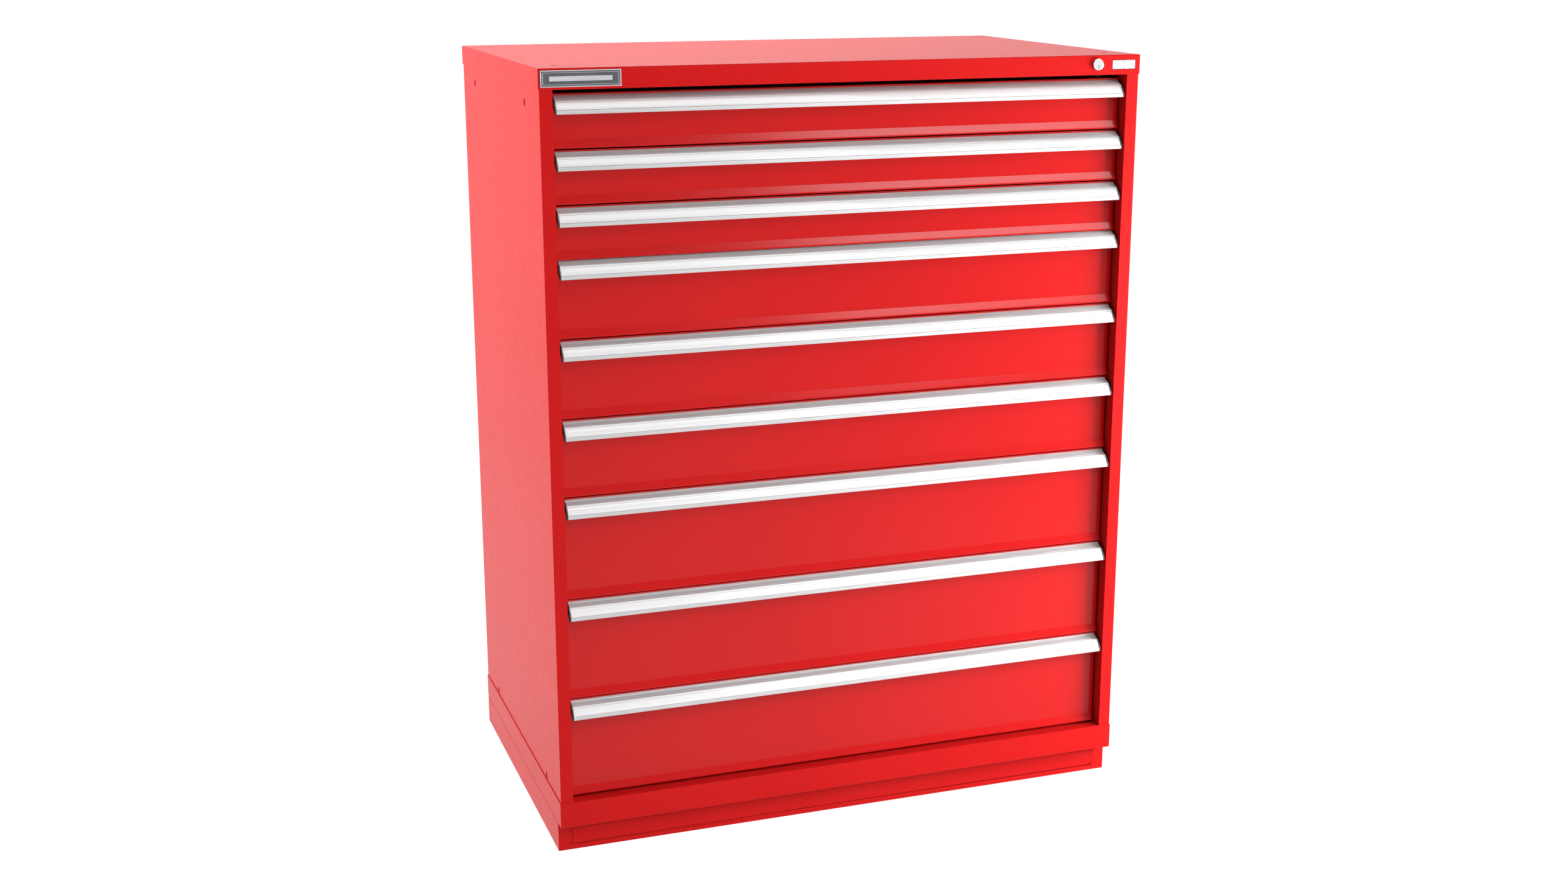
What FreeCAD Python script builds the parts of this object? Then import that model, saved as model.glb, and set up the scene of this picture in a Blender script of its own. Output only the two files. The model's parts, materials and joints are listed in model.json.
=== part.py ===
import FreeCAD, Part
import math
import os

# Modular drawer cabinet on a recessed plinth: a sheet-steel housing with a lid and a bottom cap,
# a stack of full-extension drawers with full-width extruded handles, and a keyed lock bar.
# Millimetres. Origin at the middle of the footprint on the floor, +X right, +Y to the back, +Z up.

Vector = FreeCAD.Vector

# ---- overall -------------------------------------------------------------------------------
WIDTH = 1193.8  # over the lid and the bottom cap
DEPTH = 723.9
SHEET = 1.5  # housing, lid, cap and drawer fronts
CAP_OVERHANG = 1.5  # lid and cap stand this far out of the housing panels
BASE_HEIGHT = 58.9
CAP_HEIGHT = 51.8
LID_HEIGHT = 37.9
EDGE_RADIUS = 2.0  # bends of the lid and the cap

# ---- drawer stack, from the top down -------------------------------------------------------
DRAWER_UNITS = [2, 2, 2, 3, 3, 3, 4, 4, 4]
UNIT = 50.25  # height module
SHORT_DRAWER = 4  # its front is cut lower than the module, under the three small drawers
SHORT_BY = 5.0
SILL_GAP = 5.3  # bottom cap to the lowest front
TOP_GAP = 5.65  # top module line to the lid
FRONT_GAP = 3.0  # between drawer fronts
FRONT_SETBACK = 27.0  # drawer front behind the lid's front face
FRONT_DEPTH = 15.0
FRONT_SIDE_GAP = 4.4  # drawer front to post
FRONT_LIP_TOP = 20.0
FRONT_LIP_BOTTOM = 14.0
FRONT_LIP_SIDE = 18.0
FLARE = 5.0  # how far the lower lip leans forward
FLARE_START = 16.0  # above the bottom edge
FLARE_EDGE = 2.5
TRAY_SHEET = 1.2
TRAY_REAR_ROOM = 43.9  # behind the tray, to the back of the lid
TRAY_LIFT = 6.0  # tray bottom above the front's bottom edge
TRAY_DROP = 12.0  # tray top below the front's top edge

# ---- posts, uprights, flanges --------------------------------------------------------------
POST_WIDTH = 25.9  # lid edge to the post's inner face
POST_RETURN = 60.0
PANEL_FLANGE = 60.0  # top and bottom flanges of the panels
REAR_FLANGE = 25.0
UPRIGHT_AT = [124.0, DEPTH - 123.9]  # centre lines behind the lid's front face
UPRIGHT_WIDTH = 60.0
UPRIGHT_LIP = 12.0
SILL_DEPTH = 45.0
SILL_RETURN = 14.0
LID_RETURN = 30.0

# ---- bolt holes ----------------------------------------------------------------------------
SIDE_HOLE_R = 7.0
SIDE_HOLE_BELOW_TOP = 68.3
SIDE_HOLE_ABOVE_CAP = 9.3
TOP_HOLE_R = 5.5
TOP_HOLE_SIDE = 44.0
TOP_HOLE_END = 65.0
REAR_HOLE_R = 5.0
REAR_HOLES_AT = [152.0, 885.0]  # from the left edge
REAR_HOLE_EDGE = 34.0

# ---- base ----------------------------------------------------------------------------------
BASE_SHEET = 2.0
BASE_SETBACK = 26.0
FRONT_WRAP_END = 62.5
REAR_WRAP = 25.4
BASE_SEAM = 0.8
BASE_FLANGE = 50.0
BASE_EAR = 24.0
SCREW_R = 1.5
SCREW_HEAD_R = 2.5
SCREW_HEAD = 1.2
SCREW_INSET = 26.5
SCREW_HEIGHTS = [12.5, 44.3]

# ---- slides: fixed channel, roller carriage, drawer channel --------------------------------
SLIDE_GAP = 13.0  # post face to tray side
CHANNEL_SHEET = 1.5
CHANNEL_FLANGE = 5.2
ROLLER_R = 14.0
ROLLER_PLAY = 0.3
ROLLER_WIDTH = 3.6
CARRIAGE_PLATE = 1.8
CARRIAGE_HALF = 13.5
RAIL_START = 62.0
RAIL_END = DEPTH - 33.9
CARRIAGE_START = 66.0
CARRIAGE_END = DEPTH - 53.9
DRAWER_CHANNEL_END = DEPTH - 48.9
OUTER_ROLLERS = [CARRIAGE_END - 270.0, CARRIAGE_END - 20.0]
INNER_ROLLERS = [CARRIAGE_START + 20.0, CARRIAGE_START + 274.0]

# ---- handles -------------------------------------------------------------------------------
HANDLE_DROP = 38.0  # top module line of the drawer to the handle's lip
HANDLE_END_GAP = 6.7  # post to the end of the extrusion
END_CAP = 3.0
# Outline as (forward of the drawer front, above the lip), outside then inside.
HANDLE_OUTER = [(0, 31.9), (4.0, 28.2), (10.8, 24.8), (14.2, 23.9), (19.8, 15.5), (24.5, 6.8), (25.4, 0)]
HANDLE_INNER = [(23.1, 0), (22.3, 6.2), (17.8, 14.4), (12.9, 21.7), (10.1, 22.5), (3.2, 25.9), (2.2, 26.9)]
HANDLE_FLANGE = [(2.2, 8.0), (0, 8.0)]
END_CAP_INNER = [(22.6, 0), (17.0, 9.0), (10.0, 12.0), (0, 12.0)]

# ---- badge and lock ------------------------------------------------------------------------
BADGE_LEFT = 4.2
BADGE_WIDTH = 146.7
BADGE_HEIGHT = 29.5
BADGE_BELOW_TOP = 4.0
BADGE_PLATE = 1.0
BADGE_RADIUS = 1.5
LOCK_FROM_RIGHT = 92.8
LOCK_BELOW_TOP = 17.3
LOCK_PROUD = 6.0
LOCK_LENGTH = 38.0
LOCK_PLAY = 0.1
PLUG_R = 4.2
PLUG_PLAY = 0.05
PLUG_BELOW = 4.8
LOCK_BODY_R = PLUG_BELOW + PLUG_R + 0.5  # leaves a wall under the plug
LOCK_HEAD_R = LOCK_BODY_R + 1.5
PLUG_RECESS = 0.3
KEY_SLOT = (1.6, 7.0, 5.0)  # wide, tall, deep
CRANK_R = 8.5
CRANK_WIDTH = 7.0
CRANK_PLATE = 3.0
CRANK_PIN_R = 2.5
CRANK_PLAY = 0.5
BAR_WIDTH = 10.0
BAR_PLATE = 2.5
BAR_FROM_POST = 4.0
BAR_AT = 46.0
BAR_TOP_ABOVE_SLOT = 8.0
BAR_TOP_BELOW_SLOT = 6.0
BAR_GUIDES = 4
BAR_GUIDE_HEIGHT = 20.0
RUN_GAP = 0.3
LUG_REACH = 14.0
LUG_ABOVE_TRAY = 49.0
LUG_HEIGHT = 8.0
CATCH_ABOVE_LUG = 3.0
CATCH_HEIGHT = 14.0
CATCH_REACH = 10.0
CATCH_PLATE = 2.0
CATCH_BEHIND_BAR = 4.0
SLOT_PLAY = 2.0

# ---- places worked out from the sizes above ------------------------------------------------
FRONT = -(DEPTH + LOCK_PROUD) / 2 + LOCK_PROUD  # the lid's front face
REAR = FRONT + DEPTH
SIDE = WIDTH / 2
POST_X = SIDE - POST_WIDTH
TRAY_X = POST_X - SLIDE_GAP
CAP_TOP = BASE_HEIGHT + CAP_HEIGHT
STACK_TOP = CAP_TOP + SILL_GAP + sum(DRAWER_UNITS) * UNIT - SHORT_BY
LID_BOTTOM = STACK_TOP + TOP_GAP
HEIGHT = LID_BOTTOM + LID_HEIGHT
PANEL_BOTTOM = BASE_HEIGHT + SHEET
PANEL_TOP = HEIGHT - SHEET
PANEL_X = SIDE - CAP_OVERHANG
PANEL_FRONT = FRONT + CAP_OVERHANG
PANEL_REAR = REAR - CAP_OVERHANG
DRAWER_FRONT = FRONT + FRONT_SETBACK
TRAY_FRONT = DRAWER_FRONT + FRONT_DEPTH
SLIDE_ABOVE_TRAY = ROLLER_R + ROLLER_PLAY + CHANNEL_SHEET + 4.0
LOCK_X = SIDE - LOCK_FROM_RIGHT
LOCK_Z = HEIGHT - LOCK_BELOW_TOP
PLUG_Z = LOCK_Z - PLUG_BELOW
CRANK_RISE = CRANK_R * math.sin(math.radians(45))
BAR_STROKE = 2 * CRANK_RISE
ARM_SLOT_Z = PLUG_Z - CRANK_RISE


def box(x0, x1, y0, y1, z0, z1):
    return Part.makeBox(x1 - x0, y1 - y0, z1 - z0, Vector(x0, y0, z0))


def rod(radius, start, direction, length):
    return Part.makeCylinder(radius, length, start, direction)


def fused(first, *others):
    return first.fuse(list(others)).removeSplitter()


def mirrored(shape):
    return shape.mirror(Vector(0, 0, 0), Vector(1, 0, 0))


def both_sides(shape):
    return [shape, mirrored(shape)]


def save(name, *shapes):
    shape = shapes[0] if len(shapes) == 1 else Part.makeCompound(list(shapes))
    shape.exportStep("parts/" + name + ".step")


def profile_along_x(points, x0, x1):
    """Extrude an outline given as (forward of the drawer front, z)."""
    corners = [Vector(x0, DRAWER_FRONT - forward, z) for forward, z in points]
    face = Part.Face(Part.makePolygon(corners + corners[:1]))
    return face.extrude(Vector(x1 - x0, 0, 0))


def round_edges(shape, radius, wanted):
    edges = [edge for edge in shape.Edges if wanted(edge.BoundBox)]
    return shape.makeFillet(radius, edges)


# ---- drawers -------------------------------------------------------------------------------
def drawer_levels():
    """Bottom, top and handle lip of each drawer front, from the top drawer down."""
    levels = []
    bottom = CAP_TOP + SILL_GAP
    for number in range(len(DRAWER_UNITS), 0, -1):
        module = DRAWER_UNITS[number - 1] * UNIT
        short = SHORT_BY if number == SHORT_DRAWER else 0.0
        levels.insert(0, (bottom, bottom + module - FRONT_GAP - short, bottom + module - HANDLE_DROP))
        bottom += module - short
    return levels


def flared_lip(x, bottom, inset):
    """What the front's lower lip adds as it leans forward, or the hollow one sheet behind it."""
    outline = [(-inset, bottom + inset), (FLARE - inset, bottom + inset)]
    outline += [(FLARE - inset, bottom + FLARE_EDGE), (-inset, bottom + FLARE_START)]
    return profile_along_x(outline, -x, x)


def drawer_front(bottom, top):
    """Folded steel pan with a flared lower lip, open at the back inside its lips."""
    x = POST_X - FRONT_SIDE_GAP
    back = DRAWER_FRONT + FRONT_DEPTH
    shell = fused(box(-x, x, DRAWER_FRONT, back, bottom, top), flared_lip(x, bottom, 0))
    room = box(-x + SHEET, x - SHEET, DRAWER_FRONT + SHEET, back - SHEET, bottom + SHEET, top - SHEET)
    window_x = x - FRONT_LIP_SIDE
    window = box(-window_x, window_x, back - SHEET, back, bottom + FRONT_LIP_BOTTOM, top - FRONT_LIP_TOP)
    return shell.cut([room, flared_lip(x - SHEET, bottom, SHEET), window])


def drawer_tray(bottom, top):
    """Open box with a channel for the carriage rollers on each side, and the lock's catch."""
    tray_bottom = bottom + TRAY_LIFT
    tray_top = top - TRAY_DROP
    y0, y1 = TRAY_FRONT, REAR - TRAY_REAR_ROOM
    shell = box(-TRAY_X, TRAY_X, y0, y1, tray_bottom, tray_top)
    inner_x = TRAY_X - TRAY_SHEET
    inside = box(-inner_x, inner_x, y0 + TRAY_SHEET, y1 - TRAY_SHEET, tray_bottom + TRAY_SHEET, tray_top)
    catch_y = FRONT + BAR_AT + BAR_PLATE + CATCH_BEHIND_BAR
    catch_z = tray_bottom + LUG_ABOVE_TRAY + LUG_HEIGHT + CATCH_ABOVE_LUG
    catch = box(TRAY_X, TRAY_X + CATCH_REACH, catch_y, catch_y + CATCH_PLATE, catch_z, catch_z + CATCH_HEIGHT)
    web = channel(TRAY_X, 1, FRONT + RAIL_START, FRONT + DRAWER_CHANNEL_END, tray_bottom + SLIDE_ABOVE_TRAY)
    return [shell.cut(inside), catch] + both_sides(web)


def handle(lip):
    x = POST_X - HANDLE_END_GAP
    outline = [(forward, lip + z) for forward, z in HANDLE_OUTER + HANDLE_INNER + HANDLE_FLANGE]
    return profile_along_x(outline, -x, x)


def end_caps(lip):
    x = POST_X - HANDLE_END_GAP
    outline = [(forward, lip + z) for forward, z in HANDLE_OUTER + END_CAP_INNER]
    return both_sides(profile_along_x(outline, x, x + END_CAP))


# ---- slides --------------------------------------------------------------------------------
def channel(web_x, toward, y0, y1, z):
    """Right-hand roller channel: web at web_x, flanges reaching along toward * X."""
    outer = ROLLER_R + ROLLER_PLAY + CHANNEL_SHEET
    inner = ROLLER_R + ROLLER_PLAY
    lows, highs = sorted([web_x, web_x + toward * CHANNEL_FLANGE]), sorted([web_x + toward * CHANNEL_SHEET,
                                                                          web_x + toward * CHANNEL_FLANGE])
    body = box(lows[0], lows[1], y0, y1, z - outer, z + outer)
    return body.cut(box(highs[0], highs[1], y0, y1, z - inner, z + inner))


def slide_rail(z):
    return both_sides(channel(POST_X, -1, FRONT + RAIL_START, FRONT + RAIL_END, z))


def slide_carriage(z):
    """A plate with two rollers in the fixed channel and two in the drawer's channel, on each side."""
    middle = POST_X - SLIDE_GAP / 2
    low_x, high_x = middle - CARRIAGE_PLATE / 2, middle + CARRIAGE_PLATE / 2
    y0, y1 = FRONT + CARRIAGE_START, FRONT + CARRIAGE_END
    plate = box(low_x, high_x, y0, y1, z - CARRIAGE_HALF, z + CARRIAGE_HALF)
    pieces = both_sides(plate)
    for y in OUTER_ROLLERS:
        pieces += both_sides(rod(ROLLER_R, Vector(high_x, FRONT + y, z), Vector(1, 0, 0), ROLLER_WIDTH))
    for y in INNER_ROLLERS:
        pieces += both_sides(rod(ROLLER_R, Vector(low_x, FRONT + y, z), Vector(-1, 0, 0), ROLLER_WIDTH))
    return pieces


# ---- housing -------------------------------------------------------------------------------
def side_panel():
    """Right-hand panel with its folded front post and its flanges."""
    inside = PANEL_X - SHEET
    rear = PANEL_REAR - SHEET
    flange_x = SIDE - PANEL_FLANGE
    panel = fused(
        box(inside, PANEL_X, PANEL_FRONT, rear, PANEL_BOTTOM, PANEL_TOP),
        box(POST_X, PANEL_X, PANEL_FRONT, PANEL_FRONT + SHEET, PANEL_BOTTOM, PANEL_TOP),
        box(POST_X, POST_X + SHEET, PANEL_FRONT, FRONT + POST_RETURN, PANEL_BOTTOM, PANEL_TOP),
        box(SIDE - REAR_FLANGE, PANEL_X, rear - SHEET, rear, PANEL_BOTTOM, PANEL_TOP),
        box(flange_x, PANEL_X, PANEL_FRONT, rear, PANEL_TOP - SHEET, PANEL_TOP),
        box(flange_x, PANEL_X, PANEL_FRONT, rear, PANEL_BOTTOM, PANEL_BOTTOM + SHEET),
    )
    return panel.cut([rod(SIDE_HOLE_R, Vector(inside, FRONT + y, z), Vector(1, 0, 0), SHEET)
                      for y in UPRIGHT_AT for z in side_hole_heights()])


def side_hole_heights():
    return [CAP_TOP + SIDE_HOLE_ABOVE_CAP, HEIGHT - SIDE_HOLE_BELOW_TOP]


def locking_side_panel(levels):
    """The right panel also has slots for the lock bar's lugs and arm, and guides for the bar."""
    y0 = FRONT + BAR_AT - SLOT_PLAY
    y1 = FRONT + BAR_AT + BAR_PLATE + SLOT_PLAY
    slots = []
    for bottom, _, _ in levels:
        z = bottom + TRAY_LIFT + LUG_ABOVE_TRAY
        slot_top = z + LUG_HEIGHT + BAR_STROKE + SLOT_PLAY
        slots.append(box(POST_X, POST_X + SHEET, y0, y1, z - SLOT_PLAY, slot_top))
    arm_low, arm_high = arm_heights()
    slots.append(box(POST_X, POST_X + SHEET, y0, y1, arm_low - SLOT_PLAY, arm_high + BAR_STROKE + SLOT_PLAY))
    bar_low, bar_high = bar_heights(levels)
    bar_x = POST_X + BAR_FROM_POST + BAR_WIDTH
    step = (bar_high - bar_low) / BAR_GUIDES
    guides = [box(bar_x + RUN_GAP, PANEL_X - SHEET, y0, y1, z, z + BAR_GUIDE_HEIGHT)
              for z in [bar_low + step * (index + 0.5) for index in range(BAR_GUIDES)]]
    return fused(side_panel().cut(slots), *guides)


def back_panel():
    """Flat sheet with top and bottom flanges between the side panels' flanges."""
    flange_x = SIDE - PANEL_FLANGE
    flange_y = PANEL_REAR - PANEL_FLANGE
    return fused(
        box(-PANEL_X, PANEL_X, PANEL_REAR - SHEET, PANEL_REAR, PANEL_BOTTOM, PANEL_TOP),
        box(-flange_x, flange_x, flange_y, PANEL_REAR, PANEL_TOP - SHEET, PANEL_TOP),
        box(-flange_x, flange_x, flange_y, PANEL_REAR, PANEL_BOTTOM, PANEL_BOTTOM + SHEET),
    )


def uprights():
    """Lipped channels that carry the slide rails, two on each side."""
    pieces = []
    inside = PANEL_X - SHEET
    z0, z1 = PANEL_BOTTOM + SHEET, PANEL_TOP - SHEET
    for y in UPRIGHT_AT:
        y0, y1 = FRONT + y - UPRIGHT_WIDTH / 2, FRONT + y + UPRIGHT_WIDTH / 2
        outline = box(POST_X, inside, y0, y1, z0, z1)
        room = box(POST_X + SHEET, inside - SHEET, y0 + SHEET, y1 - SHEET, z0, z1)
        mouth = box(POST_X, POST_X + SHEET, y0 + UPRIGHT_LIP, y1 - UPRIGHT_LIP, z0, z1)
        pieces += both_sides(outline.cut([room, mouth]))
    return pieces


def top_lid():
    """Pan over the housing, with a folded return under its front face, bolt holes and the lock's hole."""
    shell = box(-SIDE, SIDE, FRONT, REAR, LID_BOTTOM, HEIGHT)
    shell = round_edges(shell, EDGE_RADIUS, lambda b: b.ZMin > HEIGHT - 1)
    room = box(-PANEL_X, PANEL_X, PANEL_FRONT, PANEL_REAR, LID_BOTTOM, PANEL_TOP)
    fold = box(-POST_X + RUN_GAP, POST_X - RUN_GAP, FRONT, FRONT + LID_RETURN, LID_BOTTOM, LID_BOTTOM + SHEET)
    lid = fused(shell.cut(room), fold)
    holes = [rod(LOCK_BODY_R + LOCK_PLAY, Vector(LOCK_X, FRONT, LOCK_Z), Vector(0, 1, 0), SHEET)]
    for x in (TOP_HOLE_SIDE - SIDE, SIDE - TOP_HOLE_SIDE):
        for y in (FRONT + TOP_HOLE_END, REAR - TOP_HOLE_END):
            holes.append(rod(TOP_HOLE_R, Vector(x, y, PANEL_TOP), Vector(0, 0, 1), SHEET))
    for x in REAR_HOLES_AT:
        centre = Vector(x - SIDE, REAR - REAR_HOLE_EDGE, PANEL_TOP)
        holes.append(rod(REAR_HOLE_R, centre, Vector(0, 0, 1), SHEET))
    return lid.cut(holes)


def bottom_cap():
    """Pan that the housing stands in, with a sill in front of the lowest drawer."""
    shell = box(-SIDE, SIDE, FRONT, REAR, BASE_HEIGHT, CAP_TOP)
    shell = round_edges(shell, EDGE_RADIUS, lambda b: b.ZMax < BASE_HEIGHT + 1)
    room = box(-PANEL_X, PANEL_X, PANEL_FRONT, PANEL_REAR, PANEL_BOTTOM, CAP_TOP)
    sill_x = POST_X - RUN_GAP
    sill = box(-sill_x, sill_x, FRONT, FRONT + SILL_DEPTH, CAP_TOP - SHEET, CAP_TOP)
    sill_back = FRONT + SILL_DEPTH
    fold = box(-sill_x, sill_x, sill_back - SHEET, sill_back, CAP_TOP - SILL_RETURN, CAP_TOP)
    return fused(shell.cut(room), sill, fold)


# ---- base ----------------------------------------------------------------------------------
def folded_base_plate(y_face, y_wrap, direction):
    """Plate across the plinth, wrapped round both corners, with a flange above and below."""
    y0, y1 = sorted([y_face, y_wrap])
    shell = box(-SIDE, SIDE, y0, y1, 0, BASE_HEIGHT)
    cut_0, cut_1 = sorted([y_face + direction * BASE_SHEET, y_wrap])
    room = box(-SIDE + BASE_SHEET, SIDE - BASE_SHEET, cut_0, cut_1, BASE_SHEET, BASE_HEIGHT - BASE_SHEET)
    return shell.cut(room)


def screw_centres():
    return [(x, z) for x in (SCREW_INSET - SIDE, SIDE - SCREW_INSET) for z in SCREW_HEIGHTS]


def screw_holes(y, depth):
    return [rod(SCREW_R + LOCK_PLAY, Vector(x, y, z), Vector(0, 1, 0), depth) for x, z in screw_centres()]


def base_front_plate():
    face = FRONT + BASE_SETBACK
    plate = folded_base_plate(face, FRONT + FRONT_WRAP_END, 1)
    return plate.cut(screw_holes(face, BASE_SHEET))


def base_rear_plate():
    return folded_base_plate(REAR, REAR - REAR_WRAP, -1)


def base_side_rails():
    """Channels along the sides, with ears that reach behind the folded plates and take the screws."""
    y0, y1 = FRONT + FRONT_WRAP_END + BASE_SEAM, REAR - REAR_WRAP - BASE_SEAM
    face = FRONT + BASE_SETBACK + BASE_SHEET
    low, high = BASE_SHEET, BASE_HEIGHT - BASE_SHEET
    inner_x = SIDE - BASE_FLANGE
    web = SIDE - BASE_SHEET
    rail = box(inner_x, SIDE, y0, y1, 0, BASE_HEIGHT).cut(box(inner_x, web, y0, y1, low, high))
    ear_x = web - BASE_SHEET
    rail = fused(
        rail,
        box(ear_x, web, face, y0 + BASE_EAR, low, high),
        box(ear_x, web, y1 - BASE_EAR, REAR - BASE_SHEET, low, high),
        box(inner_x, web, face, face + BASE_SHEET, low, high),
        box(inner_x, web, REAR - 2 * BASE_SHEET, REAR - BASE_SHEET, low, high),
    )
    holes = screw_holes(face, BASE_SHEET)
    return [side.cut(holes) for side in both_sides(rail)]


def base_screws():
    face = FRONT + BASE_SETBACK
    screws = []
    for x, z in screw_centres():
        head = rod(SCREW_HEAD_R, Vector(x, face - SCREW_HEAD, z), Vector(0, 1, 0), SCREW_HEAD)
        shank = rod(SCREW_R, Vector(x, face, z), Vector(0, 1, 0), 2 * BASE_SHEET + 2)
        screws.append(fused(head, shank))
    return screws


# ---- badge and lock ------------------------------------------------------------------------
def badge_plate():
    x0 = BADGE_LEFT - SIDE
    z1 = HEIGHT - BADGE_BELOW_TOP
    plate = box(x0, x0 + BADGE_WIDTH, FRONT - BADGE_PLATE, FRONT, z1 - BADGE_HEIGHT, z1)
    return round_edges(plate, BADGE_RADIUS, lambda b: b.XLength < 0.1 and b.ZLength < 0.1)


def lock_barrel():
    head = rod(LOCK_HEAD_R, Vector(LOCK_X, FRONT - LOCK_PROUD, LOCK_Z), Vector(0, 1, 0), LOCK_PROUD)
    head = round_edges(head, 1.0, lambda b: b.YMax < FRONT - LOCK_PROUD + 0.1)
    body = rod(LOCK_BODY_R, Vector(LOCK_X, FRONT, LOCK_Z), Vector(0, 1, 0), LOCK_LENGTH)
    start = Vector(LOCK_X, FRONT - LOCK_PROUD, PLUG_Z)
    return fused(head, body).cut(rod(PLUG_R + PLUG_PLAY, start, Vector(0, 1, 0), LOCK_PROUD + LOCK_LENGTH))


def lock_plug():
    """Keyed plug with a crank and pin on its back end, the pin 45 degrees below level when unlocked."""
    y0 = FRONT - LOCK_PROUD + PLUG_RECESS
    crank_y = FRONT + LOCK_LENGTH + RUN_GAP
    along = Vector(0, 1, 0)
    plug = rod(PLUG_R, Vector(LOCK_X, y0, PLUG_Z), along, crank_y - y0)
    hub = rod(PLUG_R + 1, Vector(LOCK_X, crank_y, PLUG_Z), along, CRANK_PLATE)
    pin_at = Vector(LOCK_X + CRANK_RISE, crank_y, ARM_SLOT_Z)
    arm = box(LOCK_X, LOCK_X + CRANK_R, crank_y, crank_y + CRANK_PLATE,
              PLUG_Z - CRANK_WIDTH / 2, PLUG_Z + CRANK_WIDTH / 2)
    arm.rotate(Vector(LOCK_X, 0, PLUG_Z), along, 45)
    end = rod(CRANK_WIDTH / 2, pin_at, along, CRANK_PLATE)
    pin_length = FRONT + BAR_AT + BAR_PLATE + SLOT_PLAY - crank_y
    pin = rod(CRANK_PIN_R, pin_at, along, pin_length)
    wide, tall, deep = KEY_SLOT
    slot = box(LOCK_X - wide / 2, LOCK_X + wide / 2, y0, y0 + deep, PLUG_Z - tall / 2, PLUG_Z + tall / 2)
    return fused(plug, hub, arm, end, pin).cut(slot)


def arm_heights():
    return ARM_SLOT_Z - BAR_TOP_BELOW_SLOT, ARM_SLOT_Z + BAR_TOP_ABOVE_SLOT


def bar_heights(levels):
    lowest = levels[-1][0] + TRAY_LIFT + LUG_ABOVE_TRAY
    return lowest - LUG_HEIGHT, arm_heights()[1]


def lock_bar(levels):
    """Flat bar inside the right post, with a lug for each drawer's catch and an arm to the crank welded on."""
    y0, y1 = FRONT + BAR_AT, FRONT + BAR_AT + BAR_PLATE
    x0 = POST_X + BAR_FROM_POST
    low, high = bar_heights(levels)
    arm_low, arm_high = arm_heights()
    half = CRANK_PIN_R + CRANK_PLAY
    slot_x0, slot_x1 = LOCK_X + CRANK_RISE - half, LOCK_X + CRANK_R + half
    slot = box(slot_x0, slot_x1, y0, y1, ARM_SLOT_Z - half, ARM_SLOT_Z + half)
    arm = box(LOCK_X, x0, y0, y1, arm_low, arm_high).cut(slot)
    pieces = [box(x0, x0 + BAR_WIDTH, y0, y1, low, high), arm]
    for bottom, _, _ in levels:
        z = bottom + TRAY_LIFT + LUG_ABOVE_TRAY
        pieces.append(box(x0 - LUG_REACH, x0, y0, y1, z, z + LUG_HEIGHT))
    return pieces


# ---- write every node ----------------------------------------------------------------------
os.makedirs("parts", exist_ok=True)
LEVELS = drawer_levels()
RAILS = []
for number, (front_bottom, front_top, lip_z) in enumerate(LEVELS, start=1):
    slide_z = front_bottom + TRAY_LIFT + SLIDE_ABOVE_TRAY
    name = "drawer_" + str(number)
    save(name + "_front", drawer_front(front_bottom, front_top))
    save(name + "_tray", *drawer_tray(front_bottom, front_top))
    save(name + "_handle", handle(lip_z))
    save(name + "_end_caps", *end_caps(lip_z))
    save(name + "_slide_carriage", *slide_carriage(slide_z))
    RAILS += slide_rail(slide_z)

save("slide_rails", *RAILS)
save("side_panel_left", mirrored(side_panel()))
save("side_panel_right", locking_side_panel(LEVELS))
save("back_panel", back_panel())
save("upright_channels", *uprights())
save("top_lid", top_lid())
save("bottom_cap", bottom_cap())
save("base_front_plate", base_front_plate())
save("base_rear_plate", base_rear_plate())
save("base_side_rails", *base_side_rails())
save("base_screws", *base_screws())
save("badge_plate", badge_plate())
save("lock_barrel", lock_barrel())
save("lock_plug", lock_plug())
save("lock_bar", *lock_bar(LEVELS))
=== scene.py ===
import json
import math

import bmesh
import bpy
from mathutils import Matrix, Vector


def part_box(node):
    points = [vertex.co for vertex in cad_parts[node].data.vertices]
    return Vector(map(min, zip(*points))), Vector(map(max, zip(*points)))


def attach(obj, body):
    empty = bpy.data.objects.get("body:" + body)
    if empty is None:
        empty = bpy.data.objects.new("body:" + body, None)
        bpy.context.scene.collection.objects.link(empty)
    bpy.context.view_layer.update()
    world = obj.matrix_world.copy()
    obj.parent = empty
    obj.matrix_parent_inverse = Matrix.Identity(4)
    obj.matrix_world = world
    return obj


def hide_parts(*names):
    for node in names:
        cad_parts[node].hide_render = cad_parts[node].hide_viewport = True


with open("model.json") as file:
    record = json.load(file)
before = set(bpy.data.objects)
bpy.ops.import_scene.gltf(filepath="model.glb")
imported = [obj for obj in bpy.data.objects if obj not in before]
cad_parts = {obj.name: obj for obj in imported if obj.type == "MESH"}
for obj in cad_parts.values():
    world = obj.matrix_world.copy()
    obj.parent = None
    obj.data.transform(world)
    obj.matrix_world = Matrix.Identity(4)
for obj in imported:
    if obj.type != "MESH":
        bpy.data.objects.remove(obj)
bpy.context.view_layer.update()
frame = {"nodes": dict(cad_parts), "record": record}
NODES = frame["nodes"]
BODIES = frame["record"]["behaviour"]["bodies"]
MM = 0.001
DRAWERS = [name for name in BODIES if name.startswith("drawer_")]
LID_LOW, LID_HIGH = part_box("top_lid")


# ---- material helpers ----------------------------------------------------------------------
NOISE_LOW, NOISE_HIGH = 0.3, 0.7  # most of a noise texture lies between these


def new_material(name):
    material = bpy.data.materials.new(name)
    material.use_nodes = True
    tree = material.node_tree
    return material, tree, tree.nodes["Principled BSDF"]


def object_coordinates(tree, stretch=(1, 1, 1)):
    """Object coordinates in metres, scaled along each axis."""
    coordinates = tree.nodes.new("ShaderNodeTexCoord")
    mapping = tree.nodes.new("ShaderNodeMapping")
    mapping.inputs["Scale"].default_value = stretch
    tree.links.new(coordinates.outputs["Object"], mapping.inputs["Vector"])
    return mapping.outputs["Vector"]


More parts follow.
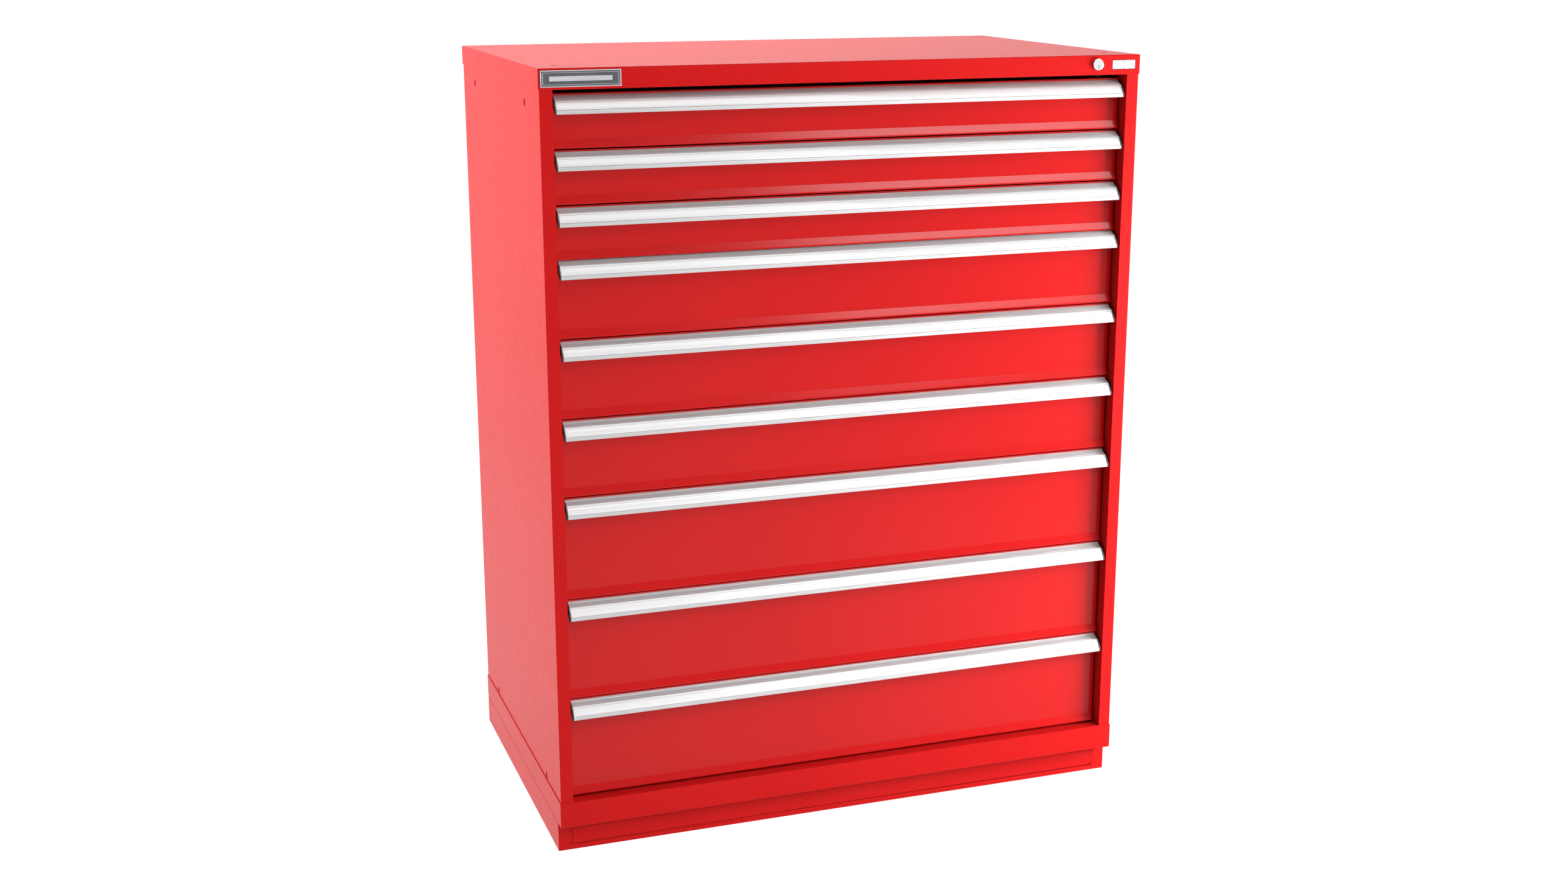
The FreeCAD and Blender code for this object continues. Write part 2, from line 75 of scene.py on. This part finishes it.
def noise(tree, vector, scale, detail=2.0):
    node = tree.nodes.new("ShaderNodeTexNoise")
    node.inputs["Scale"].default_value = scale
    node.inputs["Detail"].default_value = detail
    tree.links.new(vector, node.inputs["Vector"])
    return node.outputs["Fac"]


def value_range(tree, factor, low, high):
    node = tree.nodes.new("ShaderNodeMapRange")
    node.inputs["From Min"].default_value = NOISE_LOW
    node.inputs["From Max"].default_value = NOISE_HIGH
    node.inputs["To Min"].default_value = low
    node.inputs["To Max"].default_value = high
    tree.links.new(factor, node.inputs["Value"])
    return node.outputs["Result"]


def colour_mix(tree, factor, low, high):
    node = tree.nodes.new("ShaderNodeMix")
    node.data_type = "RGBA"
    node.inputs["A"].default_value = (*low, 1)
    node.inputs["B"].default_value = (*high, 1)
    tree.links.new(value_range(tree, factor, 0.0, 1.0), node.inputs["Factor"])
    return node.outputs["Result"]


def bump(tree, shader, height, strength, distance):
    node = tree.nodes.new("ShaderNodeBump")
    node.inputs["Strength"].default_value = strength
    node.inputs["Distance"].default_value = distance
    tree.links.new(height, node.inputs["Height"])
    tree.links.new(node.outputs["Normal"], shader.inputs["Normal"])


# ---- finishes ------------------------------------------------------------------------------
# Noise scales, per metre.
CLOUDS, SHEEN_CLOUDS, ORANGE_PEEL = 2.2, 45.0, 520.0
DIE_LINES, PAPER_FIBRES = 1800.0, 900.0
MOULD_CLOUDS, MOULD_GRAIN = 30.0, 2500.0

PLAIN_DETAIL, FINE_DETAIL = 1.0, 3.0
DIE_STRETCH = 0.01  # along the lines
BUMP_DEPTH = 0.0002
PEEL_STRENGTH, LINE_STRENGTH, GRAIN_STRENGTH = 0.02, 0.08, 0.10
PAINT_SPREAD, GRAIN_SPREAD = 0.03, 0.12  # how far roughness varies upwards
PAPER_ROUGHNESS, COVER_ROUGHNESS = (0.45, 0.55), 0.06


def painted_steel(name, low, high, rough, ior):
    """Powder coat: faint clouding of the colour and a fine orange peel."""
    material, tree, shader = new_material(name)
    vector = object_coordinates(tree)
    colour = colour_mix(tree, noise(tree, vector, CLOUDS, FINE_DETAIL), low, high)
    tree.links.new(colour, shader.inputs["Base Color"])
    cloudy = value_range(tree, noise(tree, vector, SHEEN_CLOUDS), rough, rough + PAINT_SPREAD)
    tree.links.new(cloudy, shader.inputs["Roughness"])
    bump(tree, shader, noise(tree, vector, ORANGE_PEEL, PLAIN_DETAIL), PEEL_STRENGTH, BUMP_DEPTH)
    shader.inputs["IOR"].default_value = ior
    return material


def drawn_metal(name, low, high, rough, along, metallic=1.0):
    """Extruded, drawn or plated metal with fine die lines along one axis."""
    material, tree, shader = new_material(name)
    stretch = [1.0, 1.0, 1.0]
    stretch["XYZ".index(along)] = DIE_STRETCH
    lines = noise(tree, object_coordinates(tree, stretch), DIE_LINES)
    tree.links.new(colour_mix(tree, lines, low, high), shader.inputs["Base Color"])
    tree.links.new(value_range(tree, lines, rough, rough + GRAIN_SPREAD), shader.inputs["Roughness"])
    bump(tree, shader, lines, LINE_STRENGTH, BUMP_DEPTH)
    shader.inputs["Metallic"].default_value = metallic
    return material


def moulded_plastic(name, low, high, rough):
    material, tree, shader = new_material(name)
    vector = object_coordinates(tree)
    grain = noise(tree, vector, MOULD_GRAIN)
    colour = colour_mix(tree, noise(tree, vector, MOULD_CLOUDS), low, high)
    tree.links.new(colour, shader.inputs["Base Color"])
    tree.links.new(value_range(tree, grain, rough, rough + GRAIN_SPREAD), shader.inputs["Roughness"])
    bump(tree, shader, grain, GRAIN_STRENGTH, BUMP_DEPTH)
    return material


def covered_paper(name, low, high):
    """White paper under a clear glossy cover."""
    material, tree, shader = new_material(name)
    fibres = noise(tree, object_coordinates(tree), PAPER_FIBRES, FINE_DETAIL)
    tree.links.new(colour_mix(tree, fibres, low, high), shader.inputs["Base Color"])
    tree.links.new(value_range(tree, fibres, *PAPER_ROUGHNESS), shader.inputs["Roughness"])
    shader.inputs["Coat Weight"].default_value = 1.0
    shader.inputs["Coat Roughness"].default_value = COVER_ROUGHNESS
    return material


# Each has its darkest and lightest colour. All but the label then have their least roughness.
RED = painted_steel("red_powder_coat", (0.345, 0.0024, 0.0026), (0.365, 0.0032, 0.0034), 0.17, 1.31)
# The housing's red is a second copy of the fronts' red. It is rougher and reflects less, and its colour
# is a touch lighter and pinker: that colour shift is painted sheen.
RED_SATIN_PAINTED_SHEEN = painted_steel(
    "red_powder_coat_satin_painted_sheen", (0.36, 0.0058, 0.0060), (0.38, 0.0068, 0.0070), 0.30, 1.13)
GREY_PAINT = painted_steel("grey_powder_coat", (0.38, 0.39, 0.40), (0.42, 0.43, 0.44), 0.30, 1.45)
ALUMINIUM = drawn_metal("anodised_aluminium", (0.42, 0.415, 0.42), (0.50, 0.495, 0.50), 0.38, "X", 0.6)
ZINC = drawn_metal("zinc_plated_steel", (0.50, 0.51, 0.53), (0.62, 0.63, 0.65), 0.28, "Y")
CHROME = drawn_metal("polished_chrome", (0.84, 0.84, 0.85), (0.90, 0.90, 0.91), 0.12, "Y")
BLACK = moulded_plastic("black_plastic", (0.006, 0.006, 0.007), (0.011, 0.011, 0.012), 0.28)
LABEL = covered_paper("label_under_cover", (0.53, 0.53, 0.54), (0.58, 0.58, 0.59))
BADGE_FIELD = moulded_plastic("badge_dark_field", (0.045, 0.048, 0.055), (0.065, 0.068, 0.075), 0.30)
BADGE_METAL = drawn_metal("badge_bright_metal", (0.62, 0.63, 0.66), (0.76, 0.77, 0.80), 0.22, "X")


# ---- mesh helpers --------------------------------------------------------------------------
def add_piece(name, builder, material, body, slot, *replaced):
    """Link a new mesh object, give it its finish, and let it ride on a CAD body."""
    bmesh.ops.recalc_face_normals(builder, faces=builder.faces[:])
    mesh = bpy.data.meshes.new(name)
    builder.to_mesh(mesh)
    builder.free()
    mesh.materials.append(material)
    piece = bpy.data.objects.new(name, mesh)
    bpy.context.scene.collection.objects.link(piece)
    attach(piece, body)
    if replaced:
        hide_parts(*replaced)
    return piece


def prism_along_x(builder, outline, x0, x1):
    """Extrude a closed outline of (y, z) points from x0 to x1."""
    left = [builder.verts.new((x0, y, z)) for y, z in outline]
    right = [builder.verts.new((x1, y, z)) for y, z in outline]
    count = len(outline)
    for index in range(count):
        after = (index + 1) % count
        builder.faces.new((left[index], left[after], right[after], right[index]))
    builder.faces.new(left[::-1])
    builder.faces.new(right)


def add_box(builder, low, high):
    outline = [(low[1], low[2]), (high[1], low[2]), (high[1], high[2]), (low[1], high[2])]
    prism_along_x(builder, outline, low[0], high[0])


def add_frame(builder, edges, rim, y0, y1):
    """Four bars round a rectangle (x0, x1, z0, z1)."""
    x0, x1, z0, z1 = edges
    add_box(builder, (x0, y0, z0), (x1, y1, z0 + rim))
    add_box(builder, (x0, y0, z1 - rim), (x1, y1, z1))
    add_box(builder, (x0, y0, z0 + rim), (x0 + rim, y1, z1 - rim))
    add_box(builder, (x1 - rim, y0, z0 + rim), (x1, y1, z1 - rim))


def soften(piece, width, segments=2, angle=40):
    """Round the edges, as a press brake or a mould does, and keep flat faces flat."""
    modifier = piece.modifiers.new("edges", "BEVEL")
    modifier.width = width
    modifier.segments = segments
    modifier.limit_method = "ANGLE"
    modifier.angle_limit = math.radians(angle)
    modifier.harden_normals = True
    for polygon in piece.data.polygons:
        polygon.use_smooth = True


# ---- handles -------------------------------------------------------------------------------
# Outlines are (forward of the drawer front, above the lip), in millimetres.
SLOPE_TOP, SLOPE_BEND, SLOPE_END = (0.6, 31.2), (4.0, 28.2), (10.6, 24.9)
GROOVE = [(10.8, 24.6), (11.0, 23.6), (11.7, 23.4), (12.0, 24.1)]
SHOULDER = [(12.8, 24.2), (13.7, 23.9), (14.4, 23.2), (16.0, 20.8), (15.6, 20.2)]
STRIP_SEAT = [(18.5, 15.8), (21.1, 11.2), (23.1, 7.3)]
LIP = [(24.0, 7.2), (24.5, 6.7), (25.0, 3.8), (25.3, 1.0), (25.3, 0.4), (24.9, 0.0)]
INSIDE = [(23.3, 0.0), (23.0, 0.3), (22.3, 6.0), (17.6, 14.0), (12.9, 21.5), (10.1, 22.2), (3.2, 25.6)]
FLANGE = [(2.2, 26.6), (2.2, 8.3), (1.9, 8.0), (0.0, 8.0)]
RIB_PITCH, RIB_DEPTH = 1.25, 0.30
RIB_STEPS = ((0.0, 0), (0.5, 0), (0.62, 1), (0.88, 1))  # share of the pitch, and whether it is sunk
STRIP_FOOT, STRIP_HEAD, STRIP_CROWN, STRIP_STEPS = (23.55, 7.6), (16.05, 20.4), 0.55, 8
STRIP_LEFT_GAP, STRIP_RIGHT_GAP = 1.0 * MM, 3.5 * MM


def ribs(start, end):
    """Shallow ribs between two points of the handle's sloping top."""
    along = Vector(end) - Vector(start)
    count = round(along.length / RIB_PITCH)
    inward = Vector((-abs(along.y), -abs(along.x))).normalized() * RIB_DEPTH
    points = []
    for index in range(count):
        for share, sunk in RIB_STEPS:
            points.append(Vector(start) + along * (index + share) / count + inward * sunk)
    return [(point.x, point.y) for point in points]


def extrusion_outline():
    slope = [(0.0, 31.9)] + ribs(SLOPE_TOP, SLOPE_BEND) + ribs(SLOPE_BEND, SLOPE_END)
    return slope + GROOVE + SHOULDER + STRIP_SEAT + LIP + INSIDE + FLANGE


def strip_outline():
    """The label under its clear cover, crowned across its height."""
    foot, head = Vector(STRIP_FOOT), Vector(STRIP_HEAD)
    outward = Vector((head.y - foot.y, foot.x - head.x)).normalized()
    face = []
    for step in range(STRIP_STEPS + 1):
        share = step / STRIP_STEPS
        bulge = STRIP_CROWN * math.sin(math.pi * share)
        point = head.lerp(foot, share) + outward * bulge
        face.append((point.x, point.y))
    return face + [(23.0, 7.5), (18.4, 15.7), (15.7, 20.2)]


def cap_outline():
    """The moulded end cap follows the extrusion, with a notch for the fingers."""
    slope = [(0.0, 31.9), (4.0, 28.2), (10.8, 24.8), (14.2, 23.9), (17.0, 19.9), (19.8, 15.5)]
    lip = [(22.2, 11.3), (24.5, 6.8), (25.2, 2.0), (25.4, 0.0), (22.6, 0.0)]
    notch = [(17.0, 9.0), (10.0, 12.0), (0.0, 12.0)]
    return slope + lip + notch


def placed(outline, front_y, lip_z):
    """An outline in metres, on one drawer's front."""
    return [(front_y - forward * MM, lip_z + height * MM) for forward, height in outline]


def drawer_handle(base):
    """Ribbed extrusion, label strip and moulded end caps of one drawer."""
    low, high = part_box(base + "_handle")
    cap_low, cap_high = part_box(base + "_end_caps")
    front_y, lip_z = high.y, low.z
    builder = bmesh.new()
    prism_along_x(builder, placed(extrusion_outline(), front_y, lip_z), low.x, high.x)
    add_piece(base + "_handle_extrusion", builder, ALUMINIUM, base, "handle_aluminium", base + "_handle")

    builder = bmesh.new()
    outline = placed(strip_outline(), front_y, lip_z)
    prism_along_x(builder, outline, low.x + STRIP_LEFT_GAP, high.x - STRIP_RIGHT_GAP)
    strip = add_piece(base + "_label_strip", builder, LABEL, base, "label_strip")
    soften(strip, width=0.15 * MM, segments=2, angle=50)

    builder = bmesh.new()
    outline = placed(cap_outline(), front_y, lip_z)
    prism_along_x(builder, outline, cap_low.x, low.x)
    prism_along_x(builder, outline, high.x, cap_high.x)
    caps = add_piece(base + "_end_cap_pair", builder, BLACK, base, "end_cap_plastic", base + "_end_caps")
    soften(caps, width=0.7 * MM, segments=3, angle=50)


# ---- lid trim ------------------------------------------------------------------------------
FIELD_SUNK, LINE_SUNK, BAR_SUNK = 0.45 * MM, 0.15 * MM, 0.1 * MM  # behind the badge's rim
BADGE_RIM, BADGE_LINE, LINE_INSET = 1.6 * MM, 0.5 * MM, 4.0 * MM
BAR_INSET_X, BAR_INSET_Z = 16.0 * MM, 10.5 * MM
LABEL_FROM_RIGHT, LABEL_FROM_TOP = 9.8 * MM, 9.6 * MM
LABEL_WIDTH, LABEL_HEIGHT, LABEL_SPLIT = 50.4 * MM, 18.3 * MM, 24.0 * MM
LABEL_RIM, BACKING_PROUD, FIELDS_PROUD = 1.2 * MM, 0.15 * MM, 0.25 * MM


def badge():
    """Name plate left blank: a bright raised border and bar on a dark field."""
    low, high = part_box("badge_plate")
    builder = bmesh.new()
    add_box(builder, (low.x, low.y + FIELD_SUNK, low.z), high)
    field = add_piece("badge_field", builder, BADGE_FIELD, "cabinet", "badge_plate", "badge_plate")
    soften(field, width=0.3 * MM)
    builder = bmesh.new()
    add_frame(builder, (low.x, high.x, low.z, high.z), BADGE_RIM, low.y, high.y)
    inner = (low.x + LINE_INSET, high.x - LINE_INSET, low.z + LINE_INSET, high.z - LINE_INSET)
    add_frame(builder, inner, BADGE_LINE, low.y + LINE_SUNK, high.y)
    bar_low = (low.x + BAR_INSET_X, low.y + BAR_SUNK, low.z + BAR_INSET_Z)
    add_box(builder, bar_low, (high.x - BAR_INSET_X, high.y, high.z - BAR_INSET_Z))
    border = add_piece("badge_border", builder, BADGE_METAL, "cabinet", "badge_plate")
    soften(border, width=0.15 * MM)


def side_label():
    """Small plain label at the other end of the lid: two blank fields in a dark border."""
    right, top = LID_HIGH.x - LABEL_FROM_RIGHT, LID_HIGH.z - LABEL_FROM_TOP
    left, bottom = right - LABEL_WIDTH, top - LABEL_HEIGHT
    skin = LID_LOW.y
    builder = bmesh.new()
    add_box(builder, (left, skin - BACKING_PROUD, bottom), (right, skin, top))
    backing = add_piece("side_label_backing", builder, BLACK, "cabinet", "end_cap_plastic")
    soften(backing, width=0.05 * MM)
    middle, rim = left + LABEL_SPLIT, LABEL_RIM
    builder = bmesh.new()
    for x0, x1 in ((left + rim, middle), (middle + rim, right - rim)):
        add_box(builder, (x0, skin - FIELDS_PROUD, bottom + rim), (x1, skin, top - rim))
    fields = add_piece("side_label_fields", builder, LABEL, "cabinet", "label_strip")
    soften(fields, width=0.05 * MM)


# ---- bolt holes ----------------------------------------------------------------------------
HOLES_Y = (-234.95 * MM, 241.05 * MM)  # centres in the side panels, as in the CAD
HOLES_Z = (120.0 * MM, 1443.0 * MM)
PANEL_SHEET = 1.5 * MM
DISC_RADIUS, DISC_SKIN, DISC_SIDES = 6.9 * MM, 0.2 * MM, 32


def circle(y, z):
    """A disc's outline of (y, z) points."""
    turns = [2 * math.pi * step / DISC_SIDES for step in range(DISC_SIDES)]
    return [(y + DISC_RADIUS * math.cos(turn), z + DISC_RADIUS * math.sin(turn)) for turn in turns]


def side_hole_backing():
    """Thin painted discs that close the inner end of the side panels' bolt holes."""
    builder = bmesh.new()
    for side, inward in (("left", 1), ("right", -1)):
        low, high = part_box("side_panel_" + side)
        inner = (low.x if inward > 0 else high.x) + inward * PANEL_SHEET
        x0, x1 = sorted((inner, inner - inward * DISC_SKIN))
        for y in HOLES_Y:
            for z in HOLES_Z:
                prism_along_x(builder, circle(y, z), x0, x1)
    # The discs take the housing's copy of the red, with its painted sheen.
    add_piece("side_hole_backing", builder, RED_SATIN_PAINTED_SHEEN, "cabinet", "red_paint")


# ---- CAD nodes that stay -------------------------------------------------------------------
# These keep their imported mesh, because rounding leaves streaks between their bolt holes.
SHARP_NODES = ("side_panel_left", "side_panel_right", "top_lid")
FOLD_RADIUS, WELD_WITHIN = 0.4 * MM, 0.02 * MM
FRONT_FOLDS, HOUSING_FOLDS = 12, 30  # the smallest angles that are rounded, in degrees


def round_cad_node(node, angle):
    """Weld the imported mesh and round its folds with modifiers, which leave the mesh itself alone."""
    weld = node.modifiers.new("weld", "WELD")
    weld.merge_threshold = WELD_WITHIN
    modifier = node.modifiers.new("edges", "BEVEL")
    modifier.width = FOLD_RADIUS
    modifier.segments = 2
    modifier.limit_method = "ANGLE"
    modifier.angle_limit = math.radians(angle)
    modifier.use_clamp_overlap = True
    modifier.harden_normals = False
    normals = node.modifiers.new("normals", "WEIGHTED_NORMAL")
    normals.keep_sharp = True
    normals.weight = 100


def finish_cad_nodes():
    finishes = {"red_paint": RED, "tray_steel": GREY_PAINT, "slide_steel": ZINC, "lock_chrome": CHROME,
                "handle_aluminium": ALUMINIUM, "end_cap_plastic": BLACK, "badge_plate": BADGE_METAL}
    slots = {row["node"]: row["material_slot"] for row in frame["record"]["subparts"]}
    for name, node in NODES.items():
        node.data.materials.clear()
        is_front = name.endswith("_front")
        finish = finishes[slots[name]]
        # Every red part but the drawer fronts takes the housing's copy of the red, whose lighter, pinker
        # colour is painted sheen.
        if finish is RED and not is_front:
            finish = RED_SATIN_PAINTED_SHEEN
        node.data.materials.append(finish)
        if slots[name] == "red_paint" and name not in SHARP_NODES:
            round_cad_node(node, FRONT_FOLDS if is_front else HOUSING_FOLDS)


# ---- studio --------------------------------------------------------------------------------
WALL_FRONT, WALL_BEHIND, CEILING = 0.55, 1.15, 0.10  # strengths
WALL_RAMP, CEILING_RAMP = (-0.1, 0.6), (0.45, 0.75)  # along the direction's Y and Z
FLOOR_GLOW_FRONT, FLOOR_GLOW = 0.75, 0.98
FLOOR_RAMP = (-6.0, -1.0)  # along Y
FLOOR_REACH = 60.0
FLOOR_GREY, FLOOR_ROUGHNESS = 0.15, 0.9
WHITE = (1, 1, 1, 1)
POWER_SHARE = 4  # a soft box's power, over its radiance and its area
# Name, place, what it points at, width and height, radiance.
LIGHTS = (
    ("soft_box", (1.9, -3.3, 3.4), (0, -0.3, 0.8), (1.4, 1.5), 7.5),
    ("right_box", (2.0, -1.25, 0.75), (0.3, -0.33, 0.6), (1.0, 1.2), 25.0),
    ("high_box", (0.5, -3.2, 6.5), (0, -0.3, 0.6), (3.5, 3.0), 2.6),
    ("top_box", (-0.2, 0.9, 3.2), (0, 0.1, 1.5), (1.6, 1.2), 7.5),
    ("left_box", (-2.7, 0.5, 2.3), (-0.6, 0.1, 1.1), (1.6, 1.6), 14.0),
)


def area_light(name, location, target, size, radiance):
    """A soft box of a given radiance: its power follows from its area."""
    data = bpy.data.lights.new(name, "AREA")
    data.shape = "RECTANGLE"
    data.size, data.size_y = size
    data.energy = radiance * POWER_SHARE * size[0] * size[1]
    light = bpy.data.objects.new(name, data)
    bpy.context.scene.collection.objects.link(light)
    light.location = location
    light.rotation_euler = (Vector(target) - Vector(location)).to_track_quat("-Z", "Y").to_euler()


def smooth_ramp(tree, value, between, low, high):
    """From low to high, each a number or a socket, as value goes over a range."""
    node = tree.nodes.new("ShaderNodeMapRange")
    node.interpolation_type = "SMOOTHSTEP"
    node.inputs["From Min"].default_value = between[0]
    node.inputs["From Max"].default_value = between[1]
    for socket, amount in (("To Min", low), ("To Max", high)):
        if isinstance(amount, float):
            node.inputs[socket].default_value = amount
        else:
            tree.links.new(amount, node.inputs[socket])
    tree.links.new(value, node.inputs["Value"])
    return node.outputs["Result"]


def studio_world():
    """Walls that are palest behind the object, under a dim ceiling."""
    world = bpy.data.worlds.new("studio")
    bpy.context.scene.world = world
    world.use_nodes = True
    tree = world.node_tree
    background = tree.nodes["Background"]
    coordinates = tree.nodes.new("ShaderNodeTexCoord")
    axes = tree.nodes.new("ShaderNodeSeparateXYZ")
    tree.links.new(coordinates.outputs["Generated"], axes.inputs["Vector"])
    walls = smooth_ramp(tree, axes.outputs["Y"], WALL_RAMP, WALL_FRONT, WALL_BEHIND)
    strength = smooth_ramp(tree, axes.outputs["Z"], CEILING_RAMP, walls, CEILING)
    tree.links.new(strength, background.inputs["Strength"])
    background.inputs["Color"].default_value = WHITE


def studio_floor():
    builder = bmesh.new()
    bmesh.ops.create_grid(builder, x_segments=1, y_segments=1, size=FLOOR_REACH)
    mesh = bpy.data.meshes.new("floor")
    builder.to_mesh(mesh)
    builder.free()
    floor = bpy.data.objects.new("floor", mesh)
    bpy.context.scene.collection.objects.link(floor)
    material, tree, shader = new_material("pale_floor")
    shader.inputs["Base Color"].default_value = (FLOOR_GREY, FLOOR_GREY, FLOOR_GREY, 1)
    shader.inputs["Roughness"].default_value = FLOOR_ROUGHNESS
    shader.inputs["Emission Color"].default_value = WHITE
    axes = tree.nodes.new("ShaderNodeSeparateXYZ")
    tree.links.new(object_coordinates(tree), axes.inputs["Vector"])
    glow = smooth_ramp(tree, axes.outputs["Y"], FLOOR_RAMP, FLOOR_GLOW_FRONT, FLOOR_GLOW)
    tree.links.new(glow, shader.inputs["Emission Strength"])
    mesh.materials.append(material)


def studio():
    bpy.context.scene.view_settings.view_transform = "Standard"
    studio_world()
    studio_floor()
    for light in LIGHTS:
        area_light(*light)


# ---- camera --------------------------------------------------------------------------------
CAMERA_PLACE = (-1.3502, -3.7982, 1.7526)
CAMERA_TILT, CAMERA_TURN = 75.301, -19.406  # degrees
LENS, SENSOR = 45.094, 36.0
FARTHEST_SEEN = 200


def camera():
    data = bpy.data.cameras.new("camera")
    data.sensor_width = SENSOR
    data.lens = LENS
    data.clip_end = FARTHEST_SEEN
    view = bpy.data.objects.new("camera", data)
    bpy.context.scene.collection.objects.link(view)
    view.location = CAMERA_PLACE
    view.rotation_euler = (math.radians(CAMERA_TILT), 0, math.radians(CAMERA_TURN))
    bpy.context.scene.camera = view


camera()
studio()
finish_cad_nodes()
for drawer in DRAWERS:
    drawer_handle(drawer)
badge()
side_label()
side_hole_backing()
